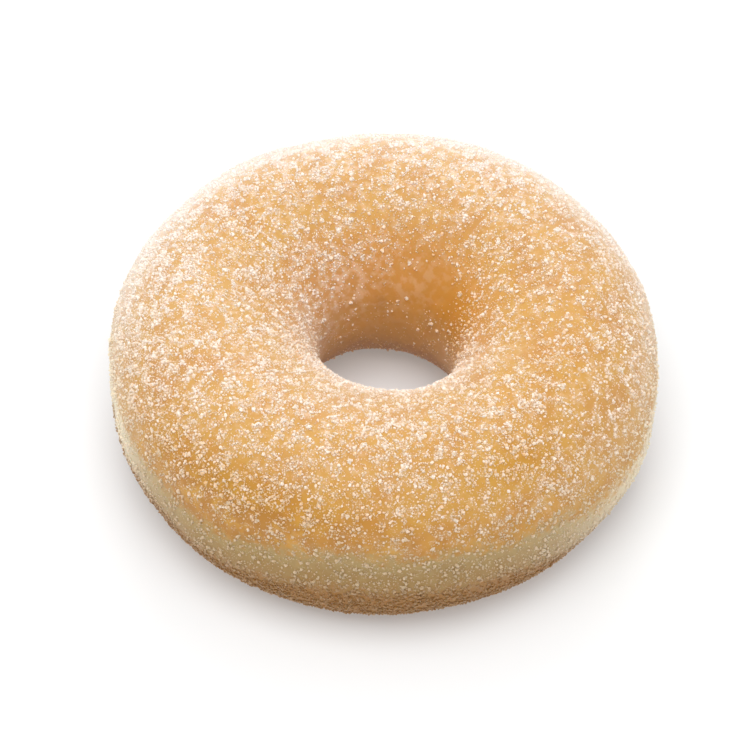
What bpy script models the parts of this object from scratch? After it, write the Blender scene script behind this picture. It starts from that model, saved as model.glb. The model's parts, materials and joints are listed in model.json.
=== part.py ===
"""A sugared ring doughnut: one ring of raised, fried dough with its larger clumps of sugar stuck to it.

Units are metres, +Z is up, and the origin is on the surface that the ring rests on, under the middle of its hole.
A place on the skin is given by two angles. Its bearing goes round the hole, from +X towards +Y. Its tilt goes
round the dough itself: 0 faces outwards, 90 degrees is the crest, 180 faces the hole and -90 faces down.
"""

import math
import random

import bmesh
import bpy
from mathutils import Matrix, Vector, noise

MM = 0.001

# The ring
OUTER_RADIUS = 46.0 * MM
HEIGHT = 36.2 * MM
CREST_RADIUS = 31.1 * MM
BELT_HEIGHT = 17.7 * MM
HOLE_RADIUS = 11.5 * MM
CROWN_FULLNESS = 1.98
BASE_FULLNESS = 2.16
BASE_PRESS = 1.7 * MM

# The hole is a little oval and sits a little off centre
HOLE_OVAL = 0.8 * MM
HOLE_OVAL_BEARING = 129
HOLE_SHIFT = 0.4 * MM
HOLE_SHIFT_BEARING = -44

# Uneven dough: broad swells, and smaller ones on them, which fade out above the surface that the ring rests on
SWELL_HEIGHT = 0.5 * MM
SWELL_SIZE = 17.0 * MM
LUMP_HEIGHT = 0.2 * MM
LUMP_SIZE = 7.0 * MM
FADE_HEIGHT = 6.0 * MM

# The pale belt, where the dough floated in the fat, lies a little lower than the crust above it
BELT_DEPTH = 0.3 * MM
BELT_HALF_WIDTH = 9

# Hollows and low ridges: bearing and half width, tilt and half length, in degrees, and height
FORMS = (
    (50, 30, 150, 26, -0.9 * MM),
    (97, 9, 150, 32, 0.45 * MM),
    (-24, 9, 128, 26, -0.45 * MM),
    (-42, 12, 105, 22, 0.35 * MM),
    (158, 10, 128, 34, -0.35 * MM),
    (-57, 14, -8, 45, -0.5 * MM),
    (-128, 16, 0, 50, 0.4 * MM),
)

# The mesh of the ring
RING_SEGMENTS = 80
DOUGH_SEGMENTS = 30

# Sugar that has caked into clumps
CLUMP_COUNT = 200
CLUMP_LENGTH = (1.1 * MM, 1.9 * MM)
CLUMP_WIDTH_SHARE = (0.65, 0.95)
CLUMP_THICKNESS_SHARE = (0.42, 0.6)
CLUMP_SINK_SHARE = 0.12
CLUMP_ROUGHNESS = 0.16
CLUMP_SPACING = 2.8 * MM
CLUMP_LOWEST = 3.0 * MM
CLUMP_SEED = 11

# Where the sugar holds: its share low on the ring, its share on the crown, and the tilts between the two
LOW_SHARE = 0.12
CROWN_SHARE = 0.6
CROWN_FROM = 2
CROWN_FULL = 30
WALL_FROM = 205
WALL_FULL = 150

# Barer and fuller patches: bearing and half width, tilt and half length, in degrees, and the share they add
PATCHES = (
    (50, 38, 152, 22, -0.6),
    (-33, 11, 66, 13, -0.5),
    (-27, 8, 112, 12, -0.4),
    (-70, 40, 78, 26, 0.35),
    (178, 38, 72, 40, 0.25),
    (-121, 10, 33, 10, 0.3),
)

DOUGH_COLOUR = (0.72, 0.38, 0.12, 1.0)
DOUGH_ROUGHNESS = 0.55
SHARP_ANGLE = math.radians(50)


def clear_scene():
    for obj in list(bpy.data.objects):
        bpy.data.objects.remove(obj, do_unlink=True)


def signed_power(value, power):
    return math.copysign(abs(value) ** power, value)


def ramp(value, low, high):
    """0 at low and 1 at high, with a smooth rise between them. Low may be the larger of the two."""
    t = min(1.0, max(0.0, (value - low) / (high - low)))
    return t * t * (3 - 2 * t)


def hump(angle, middle, half_width):
    """1 where an angle meets the middle of a form, falling to a third at its half width. All in degrees."""
    away = math.remainder(angle - middle, 360)
    return math.exp(-((away / half_width) ** 2))


def hole_radius(bearing):
    """How far the wall of the hole is from the axis, at its narrowest."""
    oval = HOLE_OVAL * math.cos(2 * math.radians(bearing - HOLE_OVAL_BEARING))
    shift = HOLE_SHIFT * math.cos(math.radians(bearing - HOLE_SHIFT_BEARING))
    return HOLE_RADIUS + oval + shift


def relief(point, bearing, tilt):
    """How far the skin stands out from the even ring at a point."""
    swell = SWELL_HEIGHT * noise.noise(point / SWELL_SIZE)
    lump = LUMP_HEIGHT * noise.noise(point / LUMP_SIZE)
    belt = -BELT_DEPTH * hump(tilt, 0, BELT_HALF_WIDTH)
    forms = sum(
        height * hump(bearing, at, half_width) * hump(tilt, middle, half_length)
        for at, half_width, middle, half_length, height in FORMS
    )
    return ramp(point.z, 0, FADE_HEIGHT) * (swell + lump + belt + forms)


def skin_point(bearing, tilt):
    """A point on the dough's skin. What would reach below the surface that it rests on is pressed flat."""
    across, up = math.cos(math.radians(tilt)), math.sin(math.radians(tilt))
    reach = OUTER_RADIUS - CREST_RADIUS if across > 0 else CREST_RADIUS - hole_radius(bearing)
    rise = HEIGHT - BELT_HEIGHT if up > 0 else BELT_HEIGHT + BASE_PRESS
    power = 2 / (CROWN_FULLNESS if up > 0 else BASE_FULLNESS)
    out = reach * signed_power(across, power)
    lift = rise * signed_power(up, power)
    outwards = Vector((math.cos(math.radians(bearing)), math.sin(math.radians(bearing)), 0))
    even = outwards * (CREST_RADIUS + out)
    even.z = BELT_HEIGHT + lift
    facing = outwards * (out / reach**2)
    facing.z = lift / rise**2
    point = even + facing.normalized() * relief(even, bearing, tilt)
    point.z = max(point.z, 0.0)
    return point


def skin_normal(bearing, tilt, step=0.6):
    """The way the skin faces at a place, from four points round it."""
    along = skin_point(bearing + step, tilt) - skin_point(bearing - step, tilt)
    over = skin_point(bearing, tilt + step) - skin_point(bearing, tilt - step)
    return along.cross(over).normalized()


def dough_material():
    material = bpy.data.materials.new("sugared_crust")
    material.use_nodes = True
    shader = material.node_tree.nodes["Principled BSDF"]
    shader.inputs["Base Color"].default_value = DOUGH_COLOUR
    shader.inputs["Roughness"].default_value = DOUGH_ROUGHNESS
    shader.inputs["Metallic"].default_value = 0.0
    return material


def make_ring(collection):
    """The dough: a torus whose points are moved to the skin."""
    middle_radius = (OUTER_RADIUS + HOLE_RADIUS) / 2
    bpy.ops.mesh.primitive_torus_add(
        major_segments=RING_SEGMENTS,
        minor_segments=DOUGH_SEGMENTS,
        major_radius=middle_radius,
        minor_radius=(OUTER_RADIUS - HOLE_RADIUS) / 2,
    )
    ring = bpy.context.active_object
    ring.name = "doughnut"
    ring.data.name = "doughnut"
    for vertex in ring.data.vertices:
        x, y, z = vertex.co
        bearing = math.degrees(math.atan2(y, x))
        tilt = math.degrees(math.atan2(z, math.hypot(x, y) - middle_radius))
        vertex.co = skin_point(bearing, tilt)
    for other in list(ring.users_collection):
        other.objects.unlink(ring)
    collection.objects.link(ring)
    ring.data.materials.append(dough_material())
    return ring


def sugar_share(bearing, tilt):
    """How much sugar sticks at a place, from 0 to 1: most on the crown, little on the belt and in the hole."""
    tilt = tilt % 360
    if tilt < CROWN_FULL or tilt > WALL_FROM + CROWN_FULL:
        crown = ramp(math.remainder(tilt, 360), CROWN_FROM, CROWN_FULL)
    else:
        crown = ramp(tilt, WALL_FROM, WALL_FULL)
    patches = sum(
        share * hump(bearing, at, half_width) * hump(tilt, middle, half_length)
        for at, half_width, middle, half_length, share in PATCHES
    )
    return min(1.0, max(0.0, LOW_SHARE + (CROWN_SHARE - LOW_SHARE + patches) * crown))


def clump_places():
    """(bearing, tilt) of each clump, more where the sugar holds, with a least distance between them."""
    draw = random.Random(CLUMP_SEED)
    places, points = [], []
    while len(places) < CLUMP_COUNT:
        bearing, tilt = draw.uniform(-180, 180), draw.uniform(-180, 180)
        point = skin_point(bearing, tilt)
        area_share = math.hypot(point.x, point.y) / OUTER_RADIUS
        if draw.random() > area_share * sugar_share(bearing, tilt) or point.z < CLUMP_LOWEST:
            continue
        if all((point - other).length > CLUMP_SPACING for other in points):
            places.append((bearing, tilt))
            points.append(point)
    return places


def make_clump(name, bearing, tilt, draw, collection):
    """One clump of caked sugar: a rough faceted lump lying on the skin, partly sunk in it."""
    length = draw.uniform(*CLUMP_LENGTH)
    width = length * draw.uniform(*CLUMP_WIDTH_SHARE)
    thickness = length * draw.uniform(*CLUMP_THICKNESS_SHARE)
    turn = Matrix.Rotation(draw.uniform(0, math.tau), 3, "Z")
    normal = skin_normal(bearing, tilt)
    lay = normal.to_track_quat("Z", "Y").to_matrix() @ turn
    middle = skin_point(bearing, tilt) - normal * (thickness * CLUMP_SINK_SHARE)
    lump = bmesh.new()
    bmesh.ops.create_icosphere(lump, subdivisions=1, radius=0.5)
    for vertex in lump.verts:
        uneven = 1 + draw.uniform(-CLUMP_ROUGHNESS, CLUMP_ROUGHNESS)
        sized = Vector((vertex.co.x * length, vertex.co.y * width, vertex.co.z * thickness))
        vertex.co = middle + lay @ (sized * uneven)
    mesh = bpy.data.meshes.new(name)
    lump.to_mesh(mesh)
    lump.free()
    clump = bpy.data.objects.new(name, mesh)
    collection.objects.link(clump)


def fuse(ring, collection):
    """Joins the clumps to the dough as one solid, and removes the separate ones."""
    union = ring.modifiers.new("sugar", "BOOLEAN")
    union.operation = "UNION"
    union.operand_type = "COLLECTION"
    union.collection = collection
    union.solver = "MANIFOLD"
    bpy.context.view_layer.objects.active = ring
    bpy.ops.object.modifier_apply(modifier=union.name)
    for clump in list(collection.objects):
        bpy.data.objects.remove(clump, do_unlink=True)
    bpy.data.collections.remove(collection)


def main():
    clear_scene()
    part = bpy.data.collections.new("sugar_doughnut")
    sugar = bpy.data.collections.new("sugar_clumps")
    bpy.context.scene.collection.children.link(part)
    bpy.context.scene.collection.children.link(sugar)
    ring = make_ring(part)
    draw = random.Random(CLUMP_SEED + 1)
    for number, (bearing, tilt) in enumerate(clump_places()):
        make_clump(f"clump_{number:03d}", bearing, tilt, draw, sugar)
    fuse(ring, sugar)
    ring.data.shade_smooth()
    ring.data.set_sharp_from_angle(angle=SHARP_ANGLE)


main()
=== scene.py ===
# %% [markdown]
# # A sugared ring doughnut
#
# A ring doughnut is raised dough, fried on one side and then on the other. The two crusts turn golden
# brown, the strip between them that never sank into the fat stays pale, and the warm ring is rolled in
# granulated sugar. This lesson makes it in that order: the dough's skin, its colours, and then tens of
# thousands of sugar crystals.

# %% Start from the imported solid
import json
import math
import random

import bmesh
import bpy
import numpy as np
from mathutils import Matrix, Vector, noise

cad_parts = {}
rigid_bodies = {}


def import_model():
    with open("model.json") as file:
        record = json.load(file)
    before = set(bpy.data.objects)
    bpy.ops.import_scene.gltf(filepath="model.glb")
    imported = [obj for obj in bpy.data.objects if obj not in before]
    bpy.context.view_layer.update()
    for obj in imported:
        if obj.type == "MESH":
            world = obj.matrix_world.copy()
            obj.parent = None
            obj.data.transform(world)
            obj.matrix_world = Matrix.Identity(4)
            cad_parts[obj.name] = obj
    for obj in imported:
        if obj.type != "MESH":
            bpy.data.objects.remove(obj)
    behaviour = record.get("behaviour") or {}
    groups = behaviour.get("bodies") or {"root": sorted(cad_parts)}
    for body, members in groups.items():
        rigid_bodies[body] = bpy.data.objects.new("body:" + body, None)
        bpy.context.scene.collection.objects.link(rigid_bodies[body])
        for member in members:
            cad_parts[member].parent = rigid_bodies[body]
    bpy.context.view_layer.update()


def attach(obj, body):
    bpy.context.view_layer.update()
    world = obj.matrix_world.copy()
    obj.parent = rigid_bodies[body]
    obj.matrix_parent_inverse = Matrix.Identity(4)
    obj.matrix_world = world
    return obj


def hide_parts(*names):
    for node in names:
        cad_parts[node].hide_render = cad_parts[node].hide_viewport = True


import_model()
MM = 0.001

# %% [markdown]
# ## The camera
#
# The doughnut fills most of a square picture and its far side is only a little smaller than its near side,
# so it was taken with a long lens from well back. Height, distance and a slight roll were fitted to its
# outline.

# %% Camera
CAMERA_RISE = math.radians(47.608)
CAMERA_ROLL = math.radians(1.034)
CAMERA_DISTANCE = 757.5 * MM
CAMERA_AIM = Vector((0, 0, 18 * MM))
AIM_RIGHT = -1.484 * MM
AIM_UP = -1.88 * MM
LENS, SENSOR = 217.6, 36
NEAREST_SEEN, FARTHEST_SEEN = 0.05, 20


def add_camera():
    back = Vector((0, -math.cos(CAMERA_RISE), math.sin(CAMERA_RISE)))
    level = Vector((1, 0, 0))
    upright = back.cross(level)
    right = level * math.cos(CAMERA_ROLL) + upright * math.sin(CAMERA_ROLL)
    up = back.cross(right)
    data = bpy.data.cameras.new("camera")
    data.lens, data.sensor_width = LENS, SENSOR
    data.clip_start, data.clip_end = NEAREST_SEEN, FARTHEST_SEEN
    camera = bpy.data.objects.new("camera", data)
    place = CAMERA_AIM + back * CAMERA_DISTANCE + right * AIM_RIGHT + up * AIM_UP
    turn = Matrix((right, up, back)).transposed().to_4x4()
    camera.matrix_world = Matrix.Translation(place) @ turn
    bpy.context.scene.collection.objects.link(camera)
    bpy.context.scene.camera = camera
    return camera


print("camera at", [round(v, 3) for v in add_camera().matrix_world.translation])

# %% [markdown]
# ## Floor and light
#
# The doughnut lies on a white table that glows a little, as a light table does, so its shadows stay pale. A
# large soft light hangs high on the camera's side and reaches through the hole to the table, and a weaker
# one behind brings out the far edge. Two small ones at the sides light the belt, and white surroundings
# fill the rest.

# %% Studio
FLOOR_SIZE = 6.0
FLOOR_WHITE = (0.66, 0.667, 0.673, 1)
GLOW_WHITE = (1.0, 1.0, 1.0, 1)
FLOOR_GLOW = 0.23
FLOOR_ROUGHNESS = 0.9
SURROUND_WHITE = (1.0, 1.0, 1.0, 1)
SURROUND_STRENGTH = 0.66
LIGHTS = {
    "softbox": {"place": (-0.05, -0.24, 0.84), "width": 0.62, "power": 4.8},
    "back_light": {"place": (0.0, 0.62, 0.60), "width": 0.5, "power": 1.7},
    "left_light": {"place": (-0.66, 0.05, 0.34), "width": 0.5, "power": 0.45},
    "right_light": {"place": (0.66, 0.05, 0.34), "width": 0.5, "power": 0.3},
}


def add_softbox(name, place, width, power):
    data = bpy.data.lights.new(name, "AREA")
    data.shape, data.size, data.energy = "SQUARE", width, power
    light = bpy.data.objects.new(name, data)
    aim = Vector(place).to_track_quat("Z", "Y").to_matrix().to_4x4()
    light.matrix_world = Matrix.Translation(place) @ aim
    bpy.context.scene.collection.objects.link(light)


def add_floor():
    bpy.ops.mesh.primitive_plane_add(size=FLOOR_SIZE)
    floor = bpy.context.active_object
    floor.name = "white_table"
    paper = bpy.data.materials.new("white_table_top")
    paper.use_nodes = True
    shader = paper.node_tree.nodes["Principled BSDF"]
    shader.inputs["Base Color"].default_value = FLOOR_WHITE
    shader.inputs["Roughness"].default_value = FLOOR_ROUGHNESS
    shader.inputs["Emission Color"].default_value = GLOW_WHITE
    shader.inputs["Emission Strength"].default_value = FLOOR_GLOW
    floor.data.materials.append(paper)
    return floor


world = bpy.data.worlds.new("white_surroundings")
world.use_nodes = True
world.node_tree.nodes["Background"].inputs["Color"].default_value = SURROUND_WHITE
world.node_tree.nodes["Background"].inputs["Strength"].default_value = SURROUND_STRENGTH
bpy.context.scene.world = world
bpy.context.scene.view_settings.view_transform = "Standard"
for name, light in LIGHTS.items():
    add_softbox(name, **light)
add_floor()
print("lights:", list(LIGHTS))

# %% [markdown]
# ## The form of the dough
#
# A place on the skin has two angles. Its bearing goes round the hole, and its tilt goes round the dough
# itself: 0 faces outwards, 90 is the crest, 180 faces the hole and -90 faces down. One formula turns them
# into a point, with the same dimensions as the solid's, so the fine skin lies on it everywhere.

# %% Dimensions of the ring
OUTER_RADIUS = 46.0 * MM
HEIGHT = 36.2 * MM
CREST_RADIUS = 31.1 * MM
BELT_HEIGHT = 17.7 * MM
HOLE_RADIUS = 11.5 * MM
CROWN_FULLNESS = 1.98
BASE_FULLNESS = 2.16
BASE_PRESS = 1.7 * MM
HOLE_OVAL = 0.8 * MM
HOLE_OVAL_BEARING = 129
HOLE_SHIFT = 0.4 * MM
HOLE_SHIFT_BEARING = -44
SWELL_HEIGHT = 0.5 * MM
SWELL_SIZE = 17.0 * MM
LUMP_HEIGHT = 0.2 * MM
LUMP_SIZE = 7.0 * MM
FADE_HEIGHT = 6.0 * MM
BELT_DEPTH = 0.3 * MM
BELT_HALF_WIDTH = 9

# Hollows and low ridges: bearing and half width, tilt and half length, in degrees, and height
FORMS = (
    (50, 30, 150, 26, -0.9 * MM),
    (97, 9, 150, 32, 0.45 * MM),
    (-24, 9, 128, 26, -0.45 * MM),
    (-42, 12, 105, 22, 0.35 * MM),
    (158, 10, 128, 34, -0.35 * MM),
    (-57, 14, -8, 45, -0.5 * MM),
    (-128, 16, 0, 50, 0.4 * MM),
)


# %% From two angles to a point on the skin
def signed_power(value, power):
    return math.copysign(abs(value) ** power, value)


def ramp(value, low, high):
    """0 at low and 1 at high, with a smooth rise between them. Low may be the larger of the two."""
    t = min(1.0, max(0.0, (value - low) / (high - low)))
    return t * t * (3 - 2 * t)


def hump(angle, middle, half_width):
    """1 where an angle meets the middle of a form, falling to a third at its half width. All in degrees."""
    away = math.remainder(angle - middle, 360)
    return math.exp(-((away / half_width) ** 2))


def patches(rows, bearing, tilt):
    """Adds up what a list of soft patches gives at a place."""
    return sum(
        amount * hump(bearing, at, half_width) * hump(tilt, middle, half_length)
        for at, half_width, middle, half_length, amount in rows
    )


def hole_radius(bearing):
    oval = HOLE_OVAL * math.cos(2 * math.radians(bearing - HOLE_OVAL_BEARING))
    shift = HOLE_SHIFT * math.cos(math.radians(bearing - HOLE_SHIFT_BEARING))
    return HOLE_RADIUS + oval + shift


def relief(point, bearing, tilt):
    """The solid's own unevenness: how far the skin stands out from the even ring."""
    swell = SWELL_HEIGHT * noise.noise(point / SWELL_SIZE)
    lump = LUMP_HEIGHT * noise.noise(point / LUMP_SIZE)
    belt = -BELT_DEPTH * hump(tilt, 0, BELT_HALF_WIDTH)
    return ramp(point.z, 0, FADE_HEIGHT) * (swell + lump + belt + patches(FORMS, bearing, tilt))


def no_fine_relief(point, bearing, tilt):
    return 0.0


def skin_point(bearing, tilt, fine_relief=no_fine_relief):
    across, up = math.cos(math.radians(tilt)), math.sin(math.radians(tilt))
    reach = OUTER_RADIUS - CREST_RADIUS if across > 0 else CREST_RADIUS - hole_radius(bearing)
    rise = HEIGHT - BELT_HEIGHT if up > 0 else BELT_HEIGHT + BASE_PRESS
    power = 2 / (CROWN_FULLNESS if up > 0 else BASE_FULLNESS)
    out = reach * signed_power(across, power)
    lift = rise * signed_power(up, power)
    outwards = Vector((math.cos(math.radians(bearing)), math.sin(math.radians(bearing)), 0))
    even = outwards * (CREST_RADIUS + out)
    even.z = BELT_HEIGHT + lift
    facing = outwards * (out / reach**2)
    facing.z = lift / rise**2
    stand = relief(even, bearing, tilt) + fine_relief(even, bearing, tilt)
    point = even + facing.normalized() * stand
    point.z = max(point.z, 0.0)
    return point


print("crest above the base, in mm:", round(skin_point(-90, 90).z / MM, 1))

# %% [markdown]
# ## Creases
#
# Beside the hole the crust has folded a little as it swelled, a furrow bounds a flat bubble on the left,
# and a low ridge crosses the front left. Sugar collects along such lines, so they are kept as short paths
# that both the skin and the sugar read.

# %% Crease lines
# Each line: its places as (bearing, tilt), its half width, its height, and the sugar that it adds
CREASES = (
    (((-20, 152), (-24, 138), (-30, 124), (-29, 116)), 0.7 * MM, 0.22 * MM, 0.5),
    (((-54, 110), (-47, 104), (-43, 97)), 0.7 * MM, 0.20 * MM, 0.5),
    (((-41, 96), (-38, 91), (-40, 84), (-43, 80)), 0.6 * MM, 0.18 * MM, 0.4),
    (((170, 80), (167, 86), (162, 92), (157, 96)), 0.7 * MM, -0.22 * MM, 0.3),
    (((-121, 37), (-115, 33), (-106, 30), (-99, 29)), 0.6 * MM, 0.12 * MM, 0.5),
)
DOUGH_SWEEP = 17 * MM  # the dough's own radius, which turns a difference of tilt into a distance
NEAR_CREASE = 25  # degrees of bearing, past which a crease is too far to count


def skin_distance(point, bearing, tilt, line):
    """How far a place is from a crease line, measured over the skin."""
    girth = math.radians(1) * math.hypot(point.x, point.y)
    climb = math.radians(1) * DOUGH_SWEEP
    here = [
        (math.remainder(b - bearing, 360) * girth, math.remainder(t - tilt, 360) * climb)
        for b, t in line
    ]
    best = math.inf
    for (ax, ay), (bx, by) in zip(here, here[1:]):
        run_x, run_y = bx - ax, by - ay
        share = -(ax * run_x + ay * run_y) / (run_x**2 + run_y**2)
        share = min(1.0, max(0.0, share))
        best = min(best, math.hypot(ax + share * run_x, ay + share * run_y))
    return best


def crease(point, bearing, tilt, measure):
    """Adds up one measure of the creases near a place: 0 for their height, 1 for their sugar."""
    total = 0.0
    for line, half_width, height, sugar in CREASES:
        if abs(math.remainder(line[0][0] - bearing, 360)) < NEAR_CREASE:
            away = skin_distance(point, bearing, tilt, line) / half_width
            total += (height, sugar)[measure] * math.exp(-(away**2))
    return total


# %% [markdown]
# ## The fine skin
#
# Seen close, fried crust is smooth and waxy with shallow dimples a few millimetres wide. A grid of faces
# under a millimetre across is fine enough to hold them as real form, and it follows the solid's shape to
# about a tenth of a millimetre, or two tenths along the creases.

# %% The grid of the skin
SKIN_COLUMNS = 360
SKIN_ROWS = 132
DIMPLE_HEIGHT = 0.09 * MM
DIMPLE_SIZE = 2.6 * MM
PIMPLE_HEIGHT = 0.035 * MM
PIMPLE_SIZE = 0.9 * MM
BAKE_MAP = "OFBake"


def crust_relief(point, bearing, tilt):
    """Dimples, pimples and creases, which the solid is too coarse to hold."""
    dimples = DIMPLE_HEIGHT * noise.noise(point / DIMPLE_SIZE)
    pimples = PIMPLE_HEIGHT * noise.noise(point / PIMPLE_SIZE)
    return ramp(point.z, 0, FADE_HEIGHT) * (dimples + pimples + crease(point, bearing, tilt, 0))


def skin_grid():
    """The bearings and tilts of the grid's lines."""
    bearings = [-180 + 360 * i / SKIN_COLUMNS for i in range(SKIN_COLUMNS)]
    tilts = [-180 + 360 * j / SKIN_ROWS for j in range(SKIN_ROWS)]
    return bearings, tilts


def unroll(mesh):
    """A flat map of the skin, bearing across and tilt up, by which its colours can go onto an image."""
    square = ((0, 0), (1, 0), (1, 1), (0, 1))
    corners = [
        (i + di, j + dj)
        for i in range(SKIN_COLUMNS)
        for j in range(SKIN_ROWS)
        for di, dj in square
    ]
    places = np.array(corners, dtype=np.float32) / (SKIN_COLUMNS, SKIN_ROWS)
    mesh.uv_layers.new(name=BAKE_MAP).data.foreach_set("uv", places.astype(np.float32).ravel())


def make_skin():
    bearings, tilts = skin_grid()
    points = [skin_point(b, t, crust_relief) for b in bearings for t in tilts]
    faces = []
    for i in range(SKIN_COLUMNS):
        for j in range(SKIN_ROWS):
            next_i, next_j = (i + 1) % SKIN_COLUMNS, (j + 1) % SKIN_ROWS
            corners = ((i, j), (next_i, j), (next_i, next_j), (i, next_j))
            faces.append([column * SKIN_ROWS + row for column, row in corners])
    mesh = bpy.data.meshes.new("dough_skin")
    mesh.from_pydata(points, [], faces)
    mesh.shade_smooth()
    unroll(mesh)
    skin = bpy.data.objects.new("dough_skin", mesh)
    bpy.context.scene.collection.objects.link(skin)
    return skin


skin = make_skin()
print("skin:", len(skin.data.polygons), "faces")

# %% [markdown]
# ## Where the sugar holds
#
# The ring was pressed into sugar, so the crown is well covered, the belt and the hole's wall are nearly
# bare, and some patches were too dry to hold any. The share is written down once, as a value at each point
# of the skin, and the crystals and the specks on the crust both read it. The veil of dust, the depth of
# frying with painted shade low at the front, how low the belt lies and how pale it is are written down the
# same way, as lists of soft patches.

# %% Sugar share
LOW_SHARE = 0.12
CROWN_SHARE = 0.6
CROWN_FROM = 2
CROWN_FULL = 30
WALL_FROM = 205
WALL_FULL = 150

# Barer and fuller patches: bearing and half width, tilt and half length, in degrees, and the share they add
PATCHES = (
    (50, 38, 152, 22, -0.6),
    (-33, 11, 66, 13, -0.5),
    (-27, 8, 112, 12, -0.4),
    (-70, 40, 78, 26, 0.35),
    (178, 38, 72, 40, 0.25),
    (-121, 10, 33, 10, 0.3),
)

# Wider ones, which only the crystals follow
DRIFTS = (
    (-140, 45, 134, 20, 0.3),
    (-90, 40, 138, 16, 0.25),
    (100, 60, 40, 36, 0.35),
    (60, 60, 206, 30, -0.4),
    (180, 50, 40, 34, 0.3),
    (110, 50, 172, 24, -0.5),
    (-100, 30, 30, 18, -0.15),
    (14, 26, 98, 18, -0.15),
)

# A veil of sugar too fine to see grain by grain: thick on the far side and the left, thin low at the front
VEILS = (
    (100, 60, 34, 40, 1.5),
    (75, 50, 88, 22, 0.35),
    (-164, 50, 94, 34, 0.2),
    (-54, 12, 82, 14, 0.12),
    (-32, 18, 96, 28, -0.08),
    (-58, 12, 52, 12, -0.25),
    (-104, 16, 98, 12, 0.2),
    (-90, 50, 150, 25, 0.3),
    (-122, 42, 32, 16, -0.3),
    (20, 32, 158, 22, -0.35),
    (140, 40, 168, 34, 0.5),
)
VEIL_SHARE = 0.275

# How far the belt and the base lie below their usual height, in mm, as the ring floated a little aslant.
# The wide ones at the front right let the belt run down to the table there.
SINKING = (
    (-130, 18, 0, 60, 2.4),
    (-92, 14, 12, 12, -1.0),
    (-32, 24, -30, 40, 7.6),
    (16, 32, -50, 36, 6.5),
    (150, 50, 0, 60, 1.0),
)

# How deep the crust was fried beyond its usual gold, in places where it lay longer in hot fat. The first two
# rows, low at the front, are painted shade: they darken the crust where that side lies in shade.
FRYING_AND_SHADE = (
    (-122, 30, 14, 22, 1.7),
    (-84, 26, 12, 14, 0.8),
    (14, 26, 98, 20, 0.6),
    (-42, 12, 60, 22, 0.2),
    (92, 8, 166, 8, 1.0),
    (48, 34, 168, 24, 0.35),
    (60, 24, 128, 12, 0.5),
)

# Where the belt is palest, at its sides and a little at the back
CREAM = (
    (-8, 30, -6, 40, 1.3),
    (-172, 19, -6, 40, 1.5),
    (90, 60, 0, 40, 0.4),
)

# The wall of the hole and the belt keep fine grains alone: middles and reaches are in degrees of tilt
WALL_LOSS = 0.9
WALL_MIDDLE = 200
WALL_REACH = 34
BELT_SCATTER = 0.12
BELT_REACH = 24

# The base was pressed into what lay on the tray: the shares of its sugar, and the heights at which they fade
BASE_SHARE = 0.9
BELT_CATCH = 0.2
BASE_FULL = 10.0 * MM
BASE_END = 17.0 * MM
BELT_TOP = 26.0 * MM
BASE_OUTSIDE = (24.0 * MM, 32.0 * MM)
FLOOR_CLEARANCE = (1.2 * MM, 2.2 * MM)
MOST_SHARE = 1.2  # where drifts and creases add up


def crown_rise(tilt):
    tilt = tilt % 360
    if tilt < CROWN_FULL or tilt > WALL_FROM + CROWN_FULL:
        return ramp(math.remainder(tilt, 360), CROWN_FROM, CROWN_FULL)
    return ramp(tilt, WALL_FROM, WALL_FULL)


def sugar_share(bearing, tilt, extra=0.0):
    tilt = tilt % 360
    added = patches(PATCHES, bearing, tilt) + extra
    return min(1.0, max(0.0, LOW_SHARE + (CROWN_SHARE - LOW_SHARE + added) * crown_rise(tilt)))


def crystal_share(point, bearing, tilt):
    share = sugar_share(bearing, tilt, patches(DRIFTS, bearing, tilt)) + crease(point, bearing, tilt, 1)
    return share * ramp(point.z, *FLOOR_CLEARANCE)


def veil_share(bearing, tilt):
    tilt = tilt % 360
    return min(1.0, max(0.0, (VEIL_SHARE + patches(VEILS, bearing, tilt)) * crown_rise(tilt)))


def base_share(point, sinking):
    """The tray's sugar stuck to the outside of the base. The belt caught some, and the hole's wall none."""
    level = point.z + sinking
    height = BELT_CATCH + (BASE_SHARE - BELT_CATCH) * ramp(level, BASE_END, BASE_FULL)
    height *= ramp(level, BELT_TOP, BASE_END)
    outside = ramp(math.hypot(point.x, point.y), *BASE_OUTSIDE)
    return height * outside * ramp(point.z, *FLOOR_CLEARANCE)


def write_attribute(mesh, name, values):
    attribute = mesh.attributes.new(name, "FLOAT", "POINT")
    attribute.data.foreach_set("value", np.asarray(values, dtype=np.float32))


def write_sugar(skin):
    bearings, tilts = skin_grid()
    places = [(b, t) for b in bearings for t in tilts]
    points = [vertex.co for vertex in skin.data.vertices]
    shares = [crystal_share(point, b, t) for (b, t), point in zip(places, points)]
    kept = [1 - WALL_LOSS * hump(t, WALL_MIDDLE, WALL_REACH) for b, t in places]
    scatter = [
        BELT_SCATTER * hump(t, 0, BELT_REACH) * ramp(point.z, *FLOOR_CLEARANCE)
        for (b, t), point in zip(places, points)
    ]
    write_attribute(skin.data, "sugar", np.clip(np.multiply(shares, kept), 0, MOST_SHARE))
    write_attribute(skin.data, "fine_sugar", np.clip(np.add(shares, scatter), 0, MOST_SHARE))
    sinking = [patches(SINKING, b, t) * MM for b, t in places]
    base = [base_share(point, drop) for point, drop in zip(points, sinking)]
    write_attribute(skin.data, "base_sugar", base)
    write_attribute(skin.data, "veil", [veil_share(b, t) for b, t in places])
    write_attribute(skin.data, "frying", [patches(FRYING_AND_SHADE, b, t) for b, t in places])
    write_attribute(skin.data, "sinking", sinking)
    write_attribute(skin.data, "cream", [patches(CREAM, b, t) for b, t in places])
    return float(np.mean(shares))


print("mean sugar share:", round(write_sugar(skin), 2))

# %% [markdown]
# ## Clumps
#
# The largest clumps of damp sugar are part of the solid, so the same draw places them here. Each is a rough
# lump that lies flat on the skin, and crystals will be stuck all over it.

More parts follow.
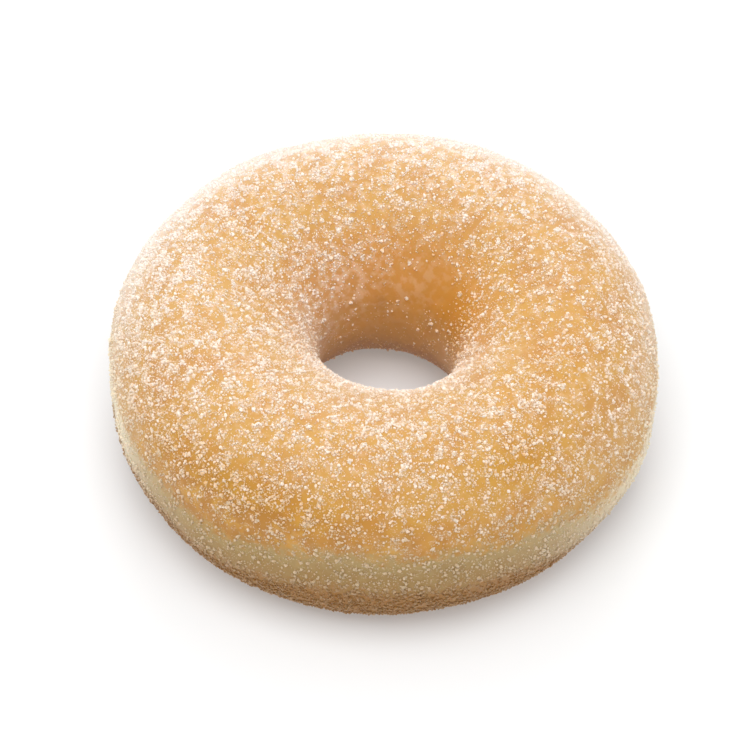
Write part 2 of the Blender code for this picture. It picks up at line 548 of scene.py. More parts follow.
# %% Places and lumps
CLUMP_COUNT = 200
CLUMP_LENGTH = (1.1 * MM, 1.9 * MM)
CLUMP_WIDTH_SHARE = (0.65, 0.95)
CLUMP_THICKNESS_SHARE = (0.42, 0.6)
CLUMP_SINK_SHARE = 0.12
CLUMP_ROUGHNESS = 0.16
CLUMP_SPACING = 2.8 * MM
CLUMP_LOWEST = 3.0 * MM
CLUMP_SEED = 11
CLUMP_CORE = 0.62  # the lump under the crystals, as a share of the whole clump
LUMP_FACES = 20


def clump_places():
    draw = random.Random(CLUMP_SEED)
    places, points = [], []
    while len(places) < CLUMP_COUNT:
        bearing, tilt = draw.uniform(-180, 180), draw.uniform(-180, 180)
        point = skin_point(bearing, tilt)
        area_share = math.hypot(point.x, point.y) / OUTER_RADIUS
        if draw.random() > area_share * sugar_share(bearing, tilt) or point.z < CLUMP_LOWEST:
            continue
        if all((point - other).length > CLUMP_SPACING for other in points):
            places.append((bearing, tilt))
            points.append(point)
    return places


def skin_normal(bearing, tilt, step=0.6):
    along = skin_point(bearing + step, tilt) - skin_point(bearing - step, tilt)
    over = skin_point(bearing, tilt + step) - skin_point(bearing, tilt - step)
    return along.cross(over).normalized()


def add_lump(lumps, bearing, tilt, draw):
    length = draw.uniform(*CLUMP_LENGTH)
    width = length * draw.uniform(*CLUMP_WIDTH_SHARE)
    thickness = length * draw.uniform(*CLUMP_THICKNESS_SHARE)
    turn = Matrix.Rotation(draw.uniform(0, math.tau), 3, "Z")
    normal = skin_normal(bearing, tilt)
    lay = normal.to_track_quat("Z", "Y").to_matrix() @ turn
    middle = skin_point(bearing, tilt) - normal * (thickness * CLUMP_SINK_SHARE)
    for vertex in bmesh.ops.create_icosphere(lumps, subdivisions=1, radius=0.5 * CLUMP_CORE)["verts"]:
        uneven = 1 + draw.uniform(-CLUMP_ROUGHNESS, CLUMP_ROUGHNESS)
        sized = Vector((vertex.co.x * length, vertex.co.y * width, vertex.co.z * thickness))
        vertex.co = middle + lay @ (sized * uneven)


def make_lumps():
    draw = random.Random(CLUMP_SEED + 1)
    lumps = bmesh.new()
    veils = []
    for bearing, tilt in clump_places():
        add_lump(lumps, bearing, tilt, draw)
        veils += [veil_share(bearing, tilt)] * (len(lumps.verts) - len(veils))
    mesh = bpy.data.meshes.new("clump_cores")
    lumps.to_mesh(mesh)
    lumps.free()
    write_attribute(mesh, "sugar", np.ones(len(mesh.vertices)))
    write_attribute(mesh, "veil", veils)
    cores = bpy.data.objects.new("clump_cores", mesh)
    bpy.context.scene.collection.objects.link(cores)
    return cores


cores = make_lumps()
print("clumps:", len(cores.data.polygons) // LUMP_FACES)

# %% [markdown]
# ## Crystal shapes
#
# Granulated sugar is a mix of whole and broken crystals: blunt blocks with a few flat faces each. One is
# made as the hull of a few corners that lie on a rounded block, which always gives a closed shape with flat
# faces. Four different ones of each grade are enough, because each grain gets its own size, stretch and turn.

# %% Four crystals of each grade
SHAPES_OF_A_GRADE = 4
GOLDEN_TURN = math.pi * (3 - math.sqrt(5))
CORNER_JITTER = 0.55
BLOCKINESS = 4.0
CRYSTAL_SEED = 5
GRADES = {"whole": 10, "broken": 8, "dust": 6}  # corners of a crystal


def block_corner(direction):
    """Where a direction meets a rounded block, 1 mm across."""
    reach = sum(abs(part) ** BLOCKINESS for part in direction) ** (-1 / BLOCKINESS)
    return direction * (0.5 * MM * reach)


def crystal(name, corners, draw):
    form = bmesh.new()
    for number in range(corners):
        rise = 1 - 2 * (number + 0.5) / corners
        turn = number * GOLDEN_TURN
        level = math.sqrt(1 - rise**2)
        direction = Vector((level * math.cos(turn), level * math.sin(turn), rise))
        direction += CORNER_JITTER * Vector([draw.uniform(-0.5, 0.5) for _ in range(3)])
        form.verts.new(block_corner(direction.normalized()))
    bmesh.ops.convex_hull(form, input=form.verts[:])
    bmesh.ops.recalc_face_normals(form, faces=form.faces)
    mesh = bpy.data.meshes.new(name)
    form.to_mesh(mesh)
    form.free()
    return bpy.data.objects.new(name, mesh)


def make_grade(name, corners):
    """A collection of crystals that the scatter picks from."""
    draw = random.Random(CRYSTAL_SEED + corners)
    grade = bpy.data.collections.new(name + "_crystals")
    bpy.context.scene.collection.children.link(grade)
    for number in range(SHAPES_OF_A_GRADE):
        grade.objects.link(crystal(f"{name}_crystal_{number}", corners, draw))
    return grade


grades = {name: make_grade(name, corners) for name, corners in GRADES.items()}

# %% [markdown]
# ## Scattering the sugar
#
# The crystals are far too many to place by hand, so a Geometry Nodes tree does it: it spreads points over
# the skin, lays a crystal at each, sunk nearly half way, and gives it a random size, stretch and turn. Damp
# sugar clings to sugar, so the grains lie in small drifts and in thin chains between them. Both come from
# one soft noise: its high places are the drifts, and its level lines the chains. The seed is fixed, so
# every run is the same.

# %% Short calls for node trees
class Tree:
    """A node tree with short calls to add a node and to link it."""

    def __init__(self, tree):
        self.nodes, self.links = tree.nodes, tree.links

    def add(self, kind, inputs=(), **settings):
        node = self.nodes.new(kind)
        for key, value in settings.items():
            setattr(node, key, value)
        for socket, value in dict(inputs).items():
            if isinstance(value, bpy.types.NodeSocket):
                self.links.new(value, node.inputs[socket])
            else:
                node.inputs[socket].default_value = value
        return node

    def math(self, operation, first, second=0.0):
        return self.add("ShaderNodeMath", {0: first, 1: second}, operation=operation).outputs[0]

    def smooth(self, value, low, high):
        """0 at low and 1 at high, with a smooth rise between them."""
        inputs = {"Value": value, "From Min": low, "From Max": high}
        return self.add("ShaderNodeMapRange", inputs, interpolation_type="SMOOTHSTEP").outputs[0]

    def mix(self, mask, first, second):
        """The colour first where the mask is 0, and second where it is 1."""
        return self.add("ShaderNodeMix", {0: mask, 6: first, 7: second}, data_type="RGBA").outputs[2]

    def blend(self, mask, first, second):
        """The number first where the mask is 0, and second where it is 1."""
        return self.add("ShaderNodeMix", {0: mask, 2: first, 3: second}, data_type="FLOAT").outputs[0]


# %% The scatter tree
SCATTER_INPUTS = (
    ("Skin", "NodeSocketGeometry"),
    ("Crystals", "NodeSocketCollection"),
    ("Sugar map", "NodeSocketString"),
    ("Most per square metre", "NodeSocketFloat"),
    ("Closest", "NodeSocketFloat"),
    ("Smallest", "NodeSocketFloat"),
    ("Largest", "NodeSocketFloat"),
    ("Lean", "NodeSocketFloat"),
    ("Raise", "NodeSocketFloat"),
    ("Drift", "NodeSocketFloat"),
    ("Chain", "NodeSocketFloat"),
    ("Seed", "NodeSocketInt"),
    ("Sugar", "NodeSocketMaterial"),
)
SMALL_FAVOUR = 1.7  # above 1, small grains are commoner than large ones
STRETCH = 0.28
DRIFT_SIZE = 1.6 * MM
DRIFT_DETAIL, DRIFT_ROUGHNESS = 2.0, 0.6
DRIFT_FROM, DRIFT_FULL = 0.49, 0.62
CHAIN_LEVEL, CHAIN_WIDTH = 0.46, 0.04


def stickiness(tree, place):
    """Soft noise with features of several sizes. The scatter and the crust's dust both read it."""
    inputs = {"Vector": place, "Scale": 1 / DRIFT_SIZE, "Detail": DRIFT_DETAIL, "Roughness": DRIFT_ROUGHNESS}
    return tree.add("ShaderNodeTexNoise", inputs).outputs[0]


def clinging(tree, given):
    """How dense the grains are at a place, from their share there and their drifts and chains."""
    share = tree.add("GeometryNodeInputNamedAttribute", {"Name": given["Sugar map"]}, data_type="FLOAT")
    sticky = stickiness(tree, tree.add("GeometryNodeInputPosition").outputs[0])
    drifts = tree.smooth(sticky, DRIFT_FROM, DRIFT_FULL)
    off_level = tree.math("ABSOLUTE", tree.math("SUBTRACT", sticky, CHAIN_LEVEL))
    chains = tree.smooth(off_level, CHAIN_WIDTH, 0.0)
    gathered = tree.blend(given["Chain"], drifts, tree.math("MAXIMUM", drifts, chains))
    return tree.math("MULTIPLY", share.outputs["Attribute"], tree.blend(given["Drift"], 1.0, gathered))


def random_number(tree, low, high, seed):
    inputs = {2: low, 3: high, "Seed": seed}
    return tree.add("FunctionNodeRandomValue", inputs, data_type="FLOAT").outputs[1]


def random_vector(tree, low, high, seed):
    inputs = {0: low, 1: high, "Seed": seed}
    return tree.add("FunctionNodeRandomValue", inputs, data_type="FLOAT_VECTOR").outputs[0]


def grain_size(tree, given):
    chance = random_number(tree, 0.0, 1.0, given["Seed"])
    length = tree.blend(tree.math("POWER", chance, SMALL_FAVOUR), given["Smallest"], given["Largest"])
    seed = tree.math("ADD", given["Seed"], 1)
    stretch = random_vector(tree, (1 - STRETCH,) * 3, (1 + STRETCH,) * 3, seed)
    return tree.add("ShaderNodeVectorMath", {0: stretch, "Scale": length}, operation="SCALE").outputs[0]


def grain_turn(tree, given, upright):
    """The grain's base turned to the skin, then leaned a little and spun."""
    lean, less = given["Lean"], tree.math("MULTIPLY", given["Lean"], -1.0)
    least = tree.add("ShaderNodeCombineXYZ", {"X": less, "Y": less, "Z": 0.0}).outputs[0]
    most = tree.add("ShaderNodeCombineXYZ", {"X": lean, "Y": lean, "Z": math.tau}).outputs[0]
    angles = random_vector(tree, least, most, tree.math("ADD", given["Seed"], 2))
    turn = tree.add("FunctionNodeEulerToRotation", {0: angles}).outputs[0]
    return tree.add("FunctionNodeRotateRotation", {0: upright, 1: turn}, rotation_space="LOCAL").outputs[0]


def scatter_tree():
    group = bpy.data.node_groups.new("sugar_scatter", "GeometryNodeTree")
    sockets = [
        group.interface.new_socket(name, in_out="INPUT", socket_type=kind)
        for name, kind in SCATTER_INPUTS
    ]
    group.interface.new_socket("Grains", in_out="OUTPUT", socket_type="NodeSocketGeometry")
    tree = Tree(group)
    given = tree.add("NodeGroupInput").outputs
    inputs = {
        "Mesh": given["Skin"],
        "Distance Min": given["Closest"],
        "Density Max": given["Most per square metre"],
        "Density Factor": clinging(tree, given),
        "Seed": given["Seed"],
    }
    spread = tree.add("GeometryNodeDistributePointsOnFaces", inputs, distribute_method="POISSON").outputs
    lift = tree.add("ShaderNodeVectorMath", {0: spread["Normal"], "Scale": given["Raise"]}, operation="SCALE")
    points = tree.add("GeometryNodeSetPosition", {"Geometry": spread["Points"], "Offset": lift.outputs[0]})
    shapes = tree.add(
        "GeometryNodeCollectionInfo",
        {"Collection": given["Crystals"], "Separate Children": True, "Reset Children": True},
    )
    pick = tree.add(
        "FunctionNodeRandomValue",
        {4: 0, 5: SHAPES_OF_A_GRADE - 1, "Seed": tree.math("ADD", given["Seed"], 3)},
        data_type="INT",
    )
    inputs = {
        "Points": points.outputs[0],
        "Instance": shapes.outputs[0],
        "Pick Instance": True,
        "Instance Index": pick.outputs[2],
        "Rotation": grain_turn(tree, given, spread["Rotation"]),
        "Scale": grain_size(tree, given),
    }
    grains = tree.add("GeometryNodeInstanceOnPoints", inputs).outputs[0]
    tint = random_number(tree, 0.0, 1.0, tree.math("ADD", given["Seed"], 4))
    marked = tree.add(
        "GeometryNodeStoreNamedAttribute",
        {"Geometry": grains, "Name": "tint", "Value": tint},
        data_type="FLOAT",
        domain="INSTANCE",
    )
    real = tree.add("GeometryNodeRealizeInstances", {"Geometry": marked.outputs[0]})
    coloured = tree.add("GeometryNodeSetMaterial", {"Geometry": real.outputs[0], "Material": given["Sugar"]})
    tree.add("NodeGroupOutput", {0: coloured.outputs[0]})
    return group, {socket.name: socket.identifier for socket in sockets}


scatter, scatter_ids = scatter_tree()
print("scatter tree:", len(scatter.nodes), "nodes")

# %% [markdown]
# ## What sugar looks like
#
# A single crystal is clear, but light goes astray in it and in the heap it lies in, so from a step away it
# looks like frosted glass: pale, and warmed by the crust that shows through. Tracing light through tens of
# thousands of real lenses is slow and comes out grey, so each grain is a solid tone between the two, drawn
# for it alone, and a little paler at its edges as a painted reflection. Grains on the belt take its beige
# and cream, and those under it soaked up fat, so they take the base's brown, which is partly painted shade
# as well. One group holds this for every grade.

# %% Tone of a grain
SUGAR_PALE = (0.94, 0.82, 0.735, 1)
SUGAR_WARM = (0.75, 0.47, 0.21, 1)
SUGAR_BEIGE = (0.68, 0.54, 0.39, 1)
SUGAR_TAN = (0.54, 0.40, 0.245, 1)
SUGAR_CREAM = (0.88, 0.76, 0.58, 1)
# The brown of grains low under the belt: fat they soaked up, and painted shade under the ring
SUGAR_SOAKED_AND_SHADED = (0.46, 0.295, 0.16, 1)
SUGAR_BROWN = (0.31, 0.15, 0.038, 1)
# The paler edges are a painted reflection, strongest where a grain is seen edge-on
EDGE_PAINTED_REFLECTION = 1.1  # how much paler a grain is at its edges than in its middle, where the crust shows through
EDGE_MIDDLE = 0.33  # the slant at which a grain has its usual warmth
BEIGE_BELOW = (31.0 * MM, 20.0 * MM)
SOAKED_AND_SHADED_BELOW = (16.5 * MM, 11.0 * MM)
THIN_WARMTH = 1.1  # how much warmer the grains are where the cover is thin
FLAW_SIZE = 0.22 * MM  # of the clear and milky places inside a grain
FLAW_SHARE, FLAW_DETAIL = 0.9, 1.0
TONE_SPREAD = 0.6  # how much grains differ in warmth
GRAIN_ROUGHNESS = 0.28
SUGAR_IOR = 1.54
MILKINESS = 0.7
MILKY_DEPTH = 0.25 * MM


def from_axis(tree, place):
    """How far a place is from the axis of the hole."""
    flat = tree.add("ShaderNodeVectorMath", {0: place, 1: (1, 1, 0)}, operation="MULTIPLY").outputs[0]
    return tree.add("ShaderNodeVectorMath", {0: flat}, operation="LENGTH").outputs["Value"]


def grain_tone_group():
    group = bpy.data.node_groups.new("grain_tone", "ShaderNodeTree")
    for name, kind in (
        ("Pale", "NodeSocketColor"),
        ("Warm", "NodeSocketColor"),
        ("Beige", "NodeSocketColor"),
        ("Tan", "NodeSocketColor"),
        ("Cream", "NodeSocketColor"),
        ("Soaked and shaded", "NodeSocketColor"),
        ("Brown", "NodeSocketColor"),
        ("Warmth", "NodeSocketFloat"),
        ("Spread", "NodeSocketFloat"),
    ):
        group.interface.new_socket(name, in_out="INPUT", socket_type=kind)
    group.interface.new_socket("Tone", in_out="OUTPUT", socket_type="NodeSocketColor")
    tree = Tree(group)
    given = tree.add("NodeGroupInput").outputs
    tint = tree.add("ShaderNodeAttribute", attribute_name="tint").outputs["Fac"]
    veil = tree.add("ShaderNodeAttribute", attribute_name="veil").outputs["Fac"]
    place = tree.add("ShaderNodeTexCoord").outputs["Object"]
    inputs = {"Vector": place, "Scale": 1 / FLAW_SIZE, "Detail": FLAW_DETAIL}
    flaws = tree.add("ShaderNodeTexNoise", inputs).outputs[0]
    off_middle = tree.math("MULTIPLY", tree.math("SUBTRACT", tint, 0.5), given["Spread"])
    mottle = tree.math("MULTIPLY", tree.math("SUBTRACT", flaws, 0.5), FLAW_SHARE)
    thin = tree.math("MULTIPLY", tree.math("SUBTRACT", VEIL_SHARE, veil), THIN_WARMTH)
    warmth = tree.math("ADD", tree.math("ADD", given["Warmth"], thin), tree.math("ADD", off_middle, mottle))
    warmth = tree.add("ShaderNodeClamp", {0: warmth}).outputs[0]
    sinking = tree.add("ShaderNodeAttribute", attribute_name="sinking").outputs["Fac"]
    level = tree.math("ADD", tree.add("ShaderNodeSeparateXYZ", {0: place}).outputs["Z"], sinking)
    outside = tree.smooth(from_axis(tree, place), *BASE_OUTSIDE)
    beige = tree.math("MULTIPLY", tree.smooth(level, *BEIGE_BELOW), outside)
    # Low under the belt the grains take the soaked brown, which is partly painted shade
    soaked_and_shaded = tree.math("MULTIPLY", tree.smooth(level, *SOAKED_AND_SHADED_BELOW), outside)
    tone = tree.mix(warmth, given["Pale"], given["Warm"])
    cream = tree.add("ShaderNodeAttribute", attribute_name="cream").outputs["Fac"]
    belt_tone = tree.mix(cream, tree.mix(warmth, given["Beige"], given["Tan"]), given["Cream"])
    tone = tree.mix(beige, tone, belt_tone)
    tone = tree.mix(soaked_and_shaded, tone, tree.mix(warmth, given["Soaked and shaded"], given["Brown"]))
    tree.add("NodeGroupOutput", {0: tone})
    return group


grain_tone = grain_tone_group()


def toned_sugar(tree, warmth):
    """The group in a material. Warmth shifts the sugar from pale to crust-coloured."""
    inputs = {
        "Pale": SUGAR_PALE,
        "Warm": SUGAR_WARM,
        "Beige": SUGAR_BEIGE,
        "Tan": SUGAR_TAN,
        "Cream": SUGAR_CREAM,
        "Soaked and shaded": SUGAR_SOAKED_AND_SHADED,
        "Brown": SUGAR_BROWN,
        "Warmth": warmth,
        "Spread": TONE_SPREAD,
    }
    return tree.add("ShaderNodeGroup", inputs, node_tree=grain_tone).outputs[0]


def sugar_material(name, warmth, shine=0.5):
    material = bpy.data.materials.new(name)
    material.use_nodes = True
    tree = Tree(material.node_tree)
    shader = material.node_tree.nodes["Principled BSDF"]
    # A painted reflection: each grain is paler where it is seen edge-on, and warmer in its middle
    edge = tree.add("ShaderNodeLayerWeight", {"Blend": 0.5}).outputs["Facing"]
    painted_edge_reflection = tree.math("MULTIPLY", tree.math("SUBTRACT", EDGE_MIDDLE, edge), EDGE_PAINTED_REFLECTION)
    tone = toned_sugar(tree, tree.math("ADD", painted_edge_reflection, warmth))
    tree.links.new(tone, shader.inputs["Base Color"])
    shader.inputs["Roughness"].default_value = GRAIN_ROUGHNESS
    shader.inputs["IOR"].default_value = SUGAR_IOR
    shader.inputs["Specular IOR Level"].default_value = shine
    shader.inputs["Subsurface Weight"].default_value = MILKINESS
    shader.inputs["Subsurface Radius"].default_value = (1.0, 1.0, 1.0)
    shader.inputs["Subsurface Scale"].default_value = MILKY_DEPTH
    return material


# %% [markdown]
# ## Six kinds of grain
#
# Each kind is one mesh: whole crystals in drifts, broken and small ones in chains, dust, the brown ones
# round the base, and those that make up the clumps. Every crystal gets its own small square of a map, so
# that its colour can be painted onto an image without unwrapping it.

# %% Scatter each kind
# Lengths in mm, and most in grains for each square metre
GRAIN_KINDS = {
    "whole_sugar": {
        "on": skin, "map": "sugar", "grade": "whole", "seed": 21,
        "most": 6.0e6, "closest": 0.34, "size": (0.36, 0.64), "raise": 0.05, "lean": 0.6,
        "drift": 0.95, "chain": 0.1, "warmth": 0.25, "shine": 0.35,
    },
    "broken_sugar": {
        "on": skin, "map": "sugar", "grade": "broken", "seed": 31,
        "most": 7.0e6, "closest": 0.25, "size": (0.26, 0.46), "raise": 0.04, "lean": 0.9,
        "drift": 0.9, "chain": 0.6, "warmth": 0.4, "shine": 0.3,
    },
    "small_sugar": {
        "on": skin, "map": "fine_sugar", "grade": "dust", "seed": 41,
        "most": 6.5e6, "closest": 0.18, "size": (0.18, 0.34), "raise": 0.03, "lean": 1.0,
        "drift": 0.8, "chain": 0.9, "warmth": 0.5, "shine": 0.25,
    },
    "sugar_dust": {
        "on": skin, "map": "fine_sugar", "grade": "dust", "seed": 51,
        "most": 4.1e6, "closest": 0.13, "size": (0.12, 0.24), "raise": 0.02, "lean": 1.2,
        "drift": 0.5, "chain": 0.9, "warmth": 0.6, "shine": 0.25,
    },
    "base_sugar": {
        "on": skin, "map": "base_sugar", "grade": "broken", "seed": 61,
        "most": 6.0e6, "closest": 0.19, "size": (0.2, 0.68), "raise": 0.06, "lean": 0.9,
        "drift": 0.5, "chain": 0.5, "warmth": 0.4, "shine": 0.25,
    },
    "clump_sugar": {
        "on": cores, "map": "sugar", "grade": "broken", "seed": 71,
        "most": 12.0e6, "closest": 0.2, "size": (0.26, 0.46), "raise": 0.03, "lean": 1.2,
        "drift": 0.0, "chain": 0.0, "warmth": 0.3, "shine": 0.35,
    },
}
SHARP_GRADE = "whole"  # the grade whose facets show. The rest are worn round.
MAP_MARGIN = 0.1


def scattered(name, kind, material):
    """Runs the scatter tree on a copy of the skin, and keeps its result as a plain mesh."""
    carrier = bpy.data.objects.new(name + "_carrier", kind["on"].data)
    bpy.context.scene.collection.objects.link(carrier)
    modifier = carrier.modifiers.new("scatter", "NODES")
    modifier.node_group = scatter
    for socket, value in (
        ("Crystals", grades[kind["grade"]]),
        ("Sugar map", kind["map"]),
        ("Most per square metre", kind["most"]),
        ("Closest", kind["closest"] * MM),
        ("Smallest", kind["size"][0]),
        ("Largest", kind["size"][1]),
        ("Lean", kind["lean"]),
        ("Raise", kind["raise"] * MM),
        ("Drift", kind["drift"]),
        ("Chain", kind["chain"]),
        ("Seed", kind["seed"]),
        ("Sugar", material),
    ):
        modifier[scatter_ids[socket]] = value
    evaluated = carrier.evaluated_get(bpy.context.evaluated_depsgraph_get())
    mesh = bpy.data.meshes.new_from_object(evaluated)
    mesh.name = name
    bpy.data.objects.remove(carrier)
    grains = bpy.data.objects.new(name, mesh)
    bpy.context.scene.collection.objects.link(grains)
    return grains


def give_bake_map(grains, corners_per_grain):
    """One square of the map for each crystal, as every face of a crystal has one colour."""
    mesh = grains.data
    corner_count = len(mesh.loops)
    count = corner_count // corners_per_grain
    side = math.ceil(math.sqrt(count))
    grain = np.arange(corner_count) // corners_per_grain
    around = np.arange(corner_count) * (math.tau / 3)
    reach = 0.5 - MAP_MARGIN
    u = (grain % side + 0.5 + reach * np.cos(around)) / side
    v = (grain // side + 0.5 + reach * np.sin(around)) / side
    layer = mesh.uv_layers.new(name=BAKE_MAP)
    layer.data.foreach_set("uv", np.stack([u, v], 1).astype(np.float32).ravel())
    return count


pieces = []
for name, kind in GRAIN_KINDS.items():
    grains = scattered(name, kind, sugar_material(name, kind["warmth"], shine=kind["shine"]))
    if kind["grade"] != SHARP_GRADE:
        grains.data.shade_smooth()
    faces_per_grain = 2 * GRADES[kind["grade"]] - 4  # a closed hull of n corners has 2n - 4 triangles
    count = give_bake_map(grains, 3 * faces_per_grain)
    print(f"{name}: {count} crystals, {len(grains.data.polygons)} triangles")
    pieces.append(grains)

for grade in grades.values():
    for shape in list(grade.objects):
        bpy.data.objects.remove(shape)
    bpy.data.collections.remove(grade)
print("in all:", sum(len(piece.data.polygons) for piece in pieces), "triangles")

# %% [markdown]
# ## The crust
#
# Its colour follows the frying, and painted shade darkens it low at the front. The crown is golden and a
# little deeper in patches. The wall of the hole is a deeper gold, browner at its foot. The belt stayed pale,
# palest at the sides, and darkens downwards to the brown base, which lay on the tray. The edges between them
# are soft and ragged. Dust of sugar veils the crown, and light sinks a little way into the dough.

# %% Crust material
CROWN_GOLD = (0.575, 0.295, 0.045, 1)
CROWN_DEEP = (0.51, 0.225, 0.028, 1)
WALL_GOLD = (0.57, 0.25, 0.03, 1)
# The lower wall of the hole: an olive band, and paler as painted light where that wall lies in shade
WALL_LOW = (0.68, 0.33, 0.065, 1)
WALL_FOOT = (0.46, 0.18, 0.045, 1)
# The colour of the patches fried longer, and of the painted shade low at the front
FRIED_DEEP_AND_SHADE = (0.44, 0.195, 0.028, 1)
BELT_CREAM = (0.80, 0.67, 0.47, 1)
BELT_PALE = (0.41, 0.28, 0.108, 1)
BELT_LOW = (0.35, 0.21, 0.07, 1)
BASE_BROWN = (0.35, 0.155, 0.028, 1)
VEIL_PALE = (0.93, 0.77, 0.64, 1)
CORE_WARMTH = 0.25
HOLE_WALL = (22 * MM, 15 * MM)  # distances from the axis between which the crust turns to the wall's gold
BELT_EDGE = (23.2 * MM, 18.6 * MM)
BELT_DARKENS = (20.5 * MM, 15.5 * MM)
BASE_EDGE = (15.8 * MM, 10.5 * MM)
WALL_EDGE = (23.0 * MM, 15.0 * MM)
FOOT_EDGE = (13.0 * MM, 7.0 * MM)
WALL_IN_BELT = 0.85  # how far the belt inside the hole, which the fat did reach, keeps the wall's colour
CLOUD_DETAIL, CLOUD_ROUGHNESS = 3.0, 0.55
# Unevenness, each with the size of its noise in mm: the broad and the fine wander of the edges, the deeper
# gold on the crown, the patches that were fried longer together with the painted shade low at the front,
# and how strongly the belt's colour shows
RAGGED, RAGGED_SIZE = 5 * MM, 6.0
FRAYED, FRAY_SIZE = 7 * MM, 1.2
GOLD_DEEPENS, GOLD_SIZE = (0.38, 0.72), 7.0
FRYING_AND_SHADE_SHOWS, FRYING_AND_SHADE_SIZE = (0.3, 0.7), 3.0
BELT_PATCHY, BELT_PATCH_SIZE = (1.5, 0.7), 2.0
MOST_VEIL = 0.72
# Where the skin slants away the veil is paler: partly grains hiding the crust seen edge-on, partly painted
# sheen
RIM_VEIL_AND_SHEEN, RIM_SHARPNESS = 2.0, 3.0  # the veil looks thicker where the skin slants away
VEIL_OFF_DRIFTS = 0.3  # its share between the drifts of sugar
SPECKS_OFF_DRIFTS = 0.1
SPECK_SIZE = 0.3  # mm between specks
SPECK_WARMTH = 0.6
SPECK_RADIUS = (0.42, 0.2)
SPECK_BUMP, BUMP_STRENGTH = 0.05 * MM, 0.6
PORE_SIZE, PORE_SHARE = 0.5, 0.5
CRUST_SHADER = {
    "Roughness": 0.5,
    "Specular IOR Level": 0.2,
    "Subsurface Weight": 0.3,
    "Subsurface Radius": (1.0, 0.45, 0.2),
    "Subsurface Scale": 2.0 * MM,
    "Sheen Weight": 0.1,
    "Sheen Roughness": 0.5,
}


def cloud(tree, place, size):
    """Soft noise with features of a size, in mm."""
    scale = 1 / (size * MM)
    inputs = {"Vector": place, "Scale": scale, "Detail": CLOUD_DETAIL, "Roughness": CLOUD_ROUGHNESS}
    return tree.add("ShaderNodeTexNoise", inputs).outputs[0]


def uneven(tree, noise_value, reach):
    """Turns noise round a half into a distance up or down."""
    return tree.math("MULTIPLY", tree.math("SUBTRACT", noise_value, 0.5), reach)


def fried_colour(tree, place):
    """Crown, hole wall, belt and base, with soft frayed edges."""
    height = tree.add("ShaderNodeSeparateXYZ", {0: place}).outputs["Z"]
    ragged = tree.math("ADD", height, uneven(tree, cloud(tree, place, RAGGED_SIZE), RAGGED))
    sinking = tree.add("ShaderNodeAttribute", attribute_name="sinking").outputs["Fac"]
    level = tree.math("ADD", ragged, uneven(tree, cloud(tree, place, FRAY_SIZE), FRAYED))
    level = tree.math("ADD", level, sinking)
    inside = tree.smooth(from_axis(tree, place), *HOLE_WALL)
    frying = tree.add("ShaderNodeAttribute", attribute_name="frying").outputs["Fac"]
    crown = tree.mix(tree.smooth(cloud(tree, place, GOLD_SIZE), *GOLD_DEEPENS), CROWN_GOLD, CROWN_DEEP)
    # Lower down the wall turns paler: an olive band, and painted light where it lies in shade
    wall = tree.mix(tree.smooth(level, *WALL_EDGE), WALL_GOLD, WALL_LOW)
    wall = tree.mix(tree.smooth(level, *FOOT_EDGE), wall, WALL_FOOT)
    colour = tree.mix(inside, crown, wall)
    # Deeper frying, and painted shade low at the front, both darken the crust here
    deep = tree.math("MULTIPLY", frying, tree.smooth(cloud(tree, place, FRYING_AND_SHADE_SIZE), *FRYING_AND_SHADE_SHOWS))
    deep = tree.add("ShaderNodeClamp", {0: deep}).outputs[0]
    colour = tree.mix(deep, colour, FRIED_DEEP_AND_SHADE)
    outside = tree.math("SUBTRACT", 1.0, tree.math("MULTIPLY", inside, WALL_IN_BELT))
    patchy = tree.blend(cloud(tree, place, BELT_PATCH_SIZE), *BELT_PATCHY)
    belt = tree.math("MULTIPLY", tree.smooth(level, *BELT_EDGE), tree.math("MULTIPLY", outside, patchy))
    belt = tree.add("ShaderNodeClamp", {0: belt}).outputs[0]
    cream = tree.add("ShaderNodeAttribute", attribute_name="cream").outputs["Fac"]
    pale = tree.mix(cream, tree.mix(tree.smooth(level, *BELT_DARKENS), BELT_PALE, BELT_LOW), BELT_CREAM)
    colour = tree.mix(belt, colour, pale)
    return tree.mix(tree.math("MULTIPLY", tree.smooth(level, *BASE_EDGE), outside), colour, BASE_BROWN)


def specks(tree, place, share):
    """Grains too small to model: round specks in some cells of a pattern, in more where the share is high."""
    cells = tree.add("ShaderNodeTexVoronoi", {"Vector": place, "Scale": 1 / (SPECK_SIZE * MM)})
    drawn = tree.add("ShaderNodeSeparateColor", {0: cells.outputs["Color"]}).outputs[0]
    kept = tree.math("LESS_THAN", drawn, share)
    return tree.math("MULTIPLY", tree.smooth(cells.outputs["Distance"], *SPECK_RADIUS), kept)


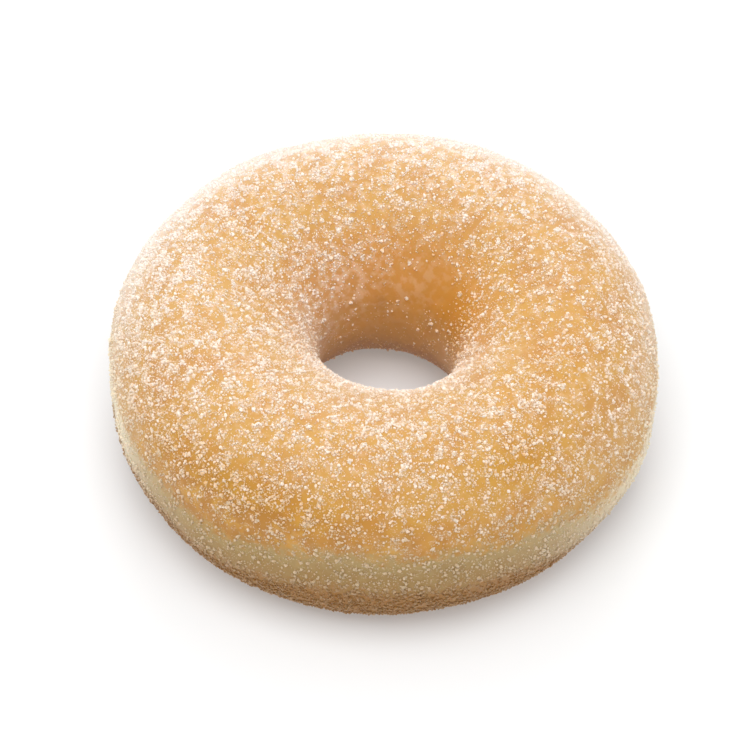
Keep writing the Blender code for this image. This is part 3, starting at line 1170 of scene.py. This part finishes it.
def crust_material():
    material = bpy.data.materials.new("fried_crust")
    material.use_nodes = True
    tree = Tree(material.node_tree)
    shader = material.node_tree.nodes["Principled BSDF"]
    place = tree.add("ShaderNodeTexCoord").outputs["Object"]
    sugar = tree.add("ShaderNodeAttribute", attribute_name="fine_sugar").outputs["Fac"]
    veil = tree.add("ShaderNodeAttribute", attribute_name="veil").outputs["Fac"]
    drifts = tree.smooth(stickiness(tree, place), CHAIN_LEVEL - CHAIN_WIDTH, DRIFT_FULL)
    tray = tree.add("ShaderNodeAttribute", attribute_name="base_sugar").outputs["Fac"]
    covered = tree.math("MULTIPLY", sugar, tree.blend(drifts, SPECKS_OFF_DRIFTS, 1.0))
    speck = specks(tree, place, tree.math("MAXIMUM", covered, tray))
    # Painted sheen, with grains seen edge-on: the veil is paler where the skin slants away from the eye
    slant = tree.add("ShaderNodeLayerWeight", {"Blend": 0.5}).outputs["Facing"]
    slant = tree.math("MULTIPLY", tree.math("POWER", slant, RIM_SHARPNESS), RIM_VEIL_AND_SHEEN)
    cover = tree.math("ADD", tree.blend(drifts, VEIL_OFF_DRIFTS, 1.0), slant)
    cover = tree.math("MULTIPLY", tree.math("MULTIPLY", veil, cover), MOST_VEIL)
    cover = tree.add("ShaderNodeClamp", {0: cover}).outputs[0]
    colour = tree.mix(cover, fried_colour(tree, place), VEIL_PALE)
    tree.links.new(tree.mix(speck, colour, toned_sugar(tree, SPECK_WARMTH)), shader.inputs["Base Color"])
    for socket, value in CRUST_SHADER.items():
        shader.inputs[socket].default_value = value
    pores = tree.math("MULTIPLY", cloud(tree, place, PORE_SIZE), PORE_SHARE)
    height = tree.math("ADD", pores, speck)
    inputs = {"Height": height, "Strength": BUMP_STRENGTH, "Distance": SPECK_BUMP}
    bump = tree.add("ShaderNodeBump", inputs)
    tree.links.new(bump.outputs[0], shader.inputs["Normal"])
    return material


skin.data.materials.append(crust_material())
cores.data.materials.append(sugar_material("clump_core_sugar", CORE_WARMTH))

# %% [markdown]
# ## Handing over
#
# Every piece rides on the one body, and together they stand for the solid.

# %% Finish
for piece in (skin, cores, *pieces):
    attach(piece, "root")
    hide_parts("doughnut")
